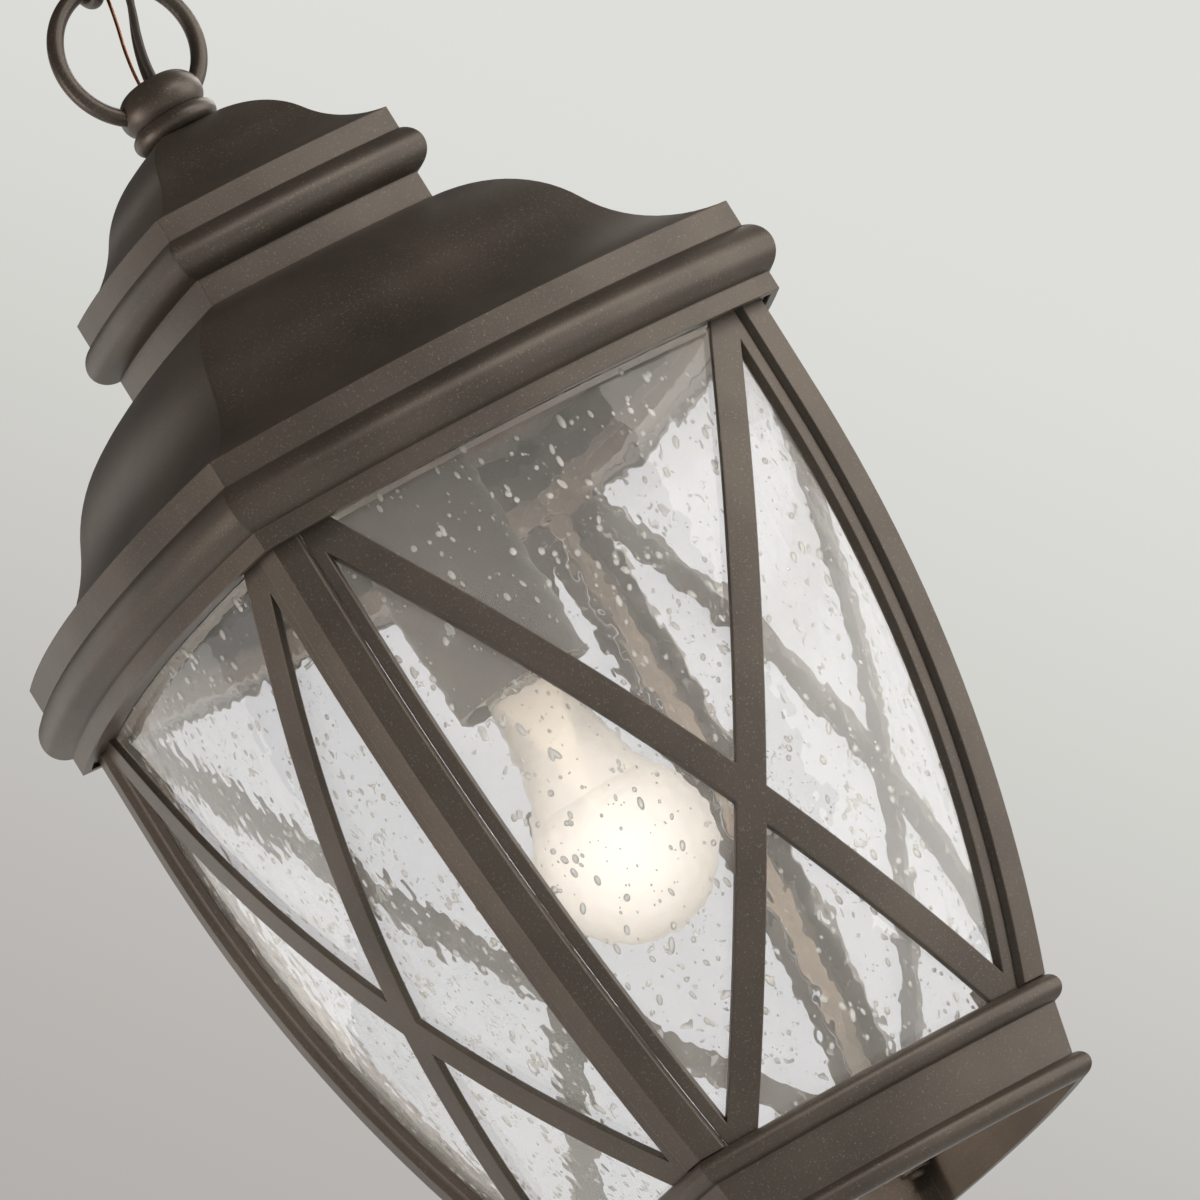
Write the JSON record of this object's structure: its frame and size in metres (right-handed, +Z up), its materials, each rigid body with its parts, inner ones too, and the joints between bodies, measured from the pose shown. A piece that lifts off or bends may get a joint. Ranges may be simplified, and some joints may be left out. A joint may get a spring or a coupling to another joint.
{
  "type": "pendant_light",
  "caption": "Chain-hung outdoor lantern with a two-tier ogee roof, crossed bars over seeded glass, an open base and a lit bulb, under a round ceiling canopy",
  "frame": {"origin": "centre of the mounting strap's upper face, in the ceiling plane", "axes": "+Z up into the ceiling along the lantern's axis; +X square to one glass side, along the strap; +Y square to the next glass side"},
  "size_m": [0.2416, 0.2416, 0.589],
  "materials": {
    "bronze_cast": "satin",
    "bronze_steel": "satin",
    "zinc_steel": "satin",
    "seeded_glass": "gloss",
    "bulb_glass": "gloss",
    "bulb_stem": "gloss",
    "porcelain": "satin",
    "shell_brass": "satin",
    "cap_metal": "satin",
    "cable_jacket": "satin",
    "copper": "satin"
  },
  "bodies": {
    "canopy": {"canopy": "bronze_steel", "canopy_loop": "bronze_steel", "loop_lock_ring": "bronze_steel", "mounting_strap": "zinc_steel", "strap_nipple": "zinc_steel", "strap_nut": "zinc_steel", "supply_cable": "cable_jacket", "ground_wire": "copper"},
    "chain_link_2": {"chain_link_2": "bronze_steel"},
    "chain_link_1": {"chain_link_1": "bronze_steel"},
    "lantern": {"crown": "bronze_cast", "roof": "bronze_cast", "top_frame": "bronze_cast", "corner_post_1": "bronze_cast", "corner_post_2": "bronze_cast", "corner_post_3": "bronze_cast", "corner_post_4": "bronze_cast", "lattice_right": "bronze_cast", "lattice_back": "bronze_cast", "lattice_left": "bronze_cast", "lattice_front": "bronze_cast", "glass_right": "seeded_glass", "glass_back": "seeded_glass", "glass_left": "seeded_glass", "glass_front": "seeded_glass", "base_frame": "bronze_cast", "frame_screws": "zinc_steel", "base_screws": "zinc_steel", "hub_collar": "bronze_cast", "ring_hub": "bronze_cast", "hanging_ring": "bronze_steel", "centre_tube": "zinc_steel", "roof_washer": "zinc_steel", "roof_nut": "zinc_steel", "cover_nut_upper": "zinc_steel", "cover_nut_lower": "zinc_steel", "socket_cover": "bronze_steel", "lampholder": "porcelain", "screw_shell": "shell_brass"},
    "bulb": {"bulb_cap": "cap_metal", "bulb_glass": "bulb_glass", "bulb_filament": "bulb_stem"}
  },
  "joints": [
    {"name": "upper_link_swing", "type": "hinge", "parent": "canopy", "child": "chain_link_2", "pos_m": [0, 0, -0.06365], "axis": [0, 1, 0], "range_deg": [-25, 25], "deforming": ["supply_cable", "ground_wire"]},
    {"name": "lower_link_swing", "type": "hinge", "parent": "chain_link_2", "child": "chain_link_1", "pos_m": [0, 0, -0.09235], "axis": [1, 0, 0], "range_deg": [-25, 25], "deforming": ["supply_cable", "ground_wire"]},
    {"name": "lantern_swing", "type": "hinge", "parent": "chain_link_1", "child": "lantern", "pos_m": [0, 0, -0.12205], "axis": [0, 1, 0], "range_deg": [-25, 25], "deforming": ["supply_cable", "ground_wire"]},
    {"name": "bulb_unscrew", "type": "slide", "parent": "lantern", "child": "bulb", "axis": [0, 0, -1], "range_m": [0, 0.028]}
  ]
}
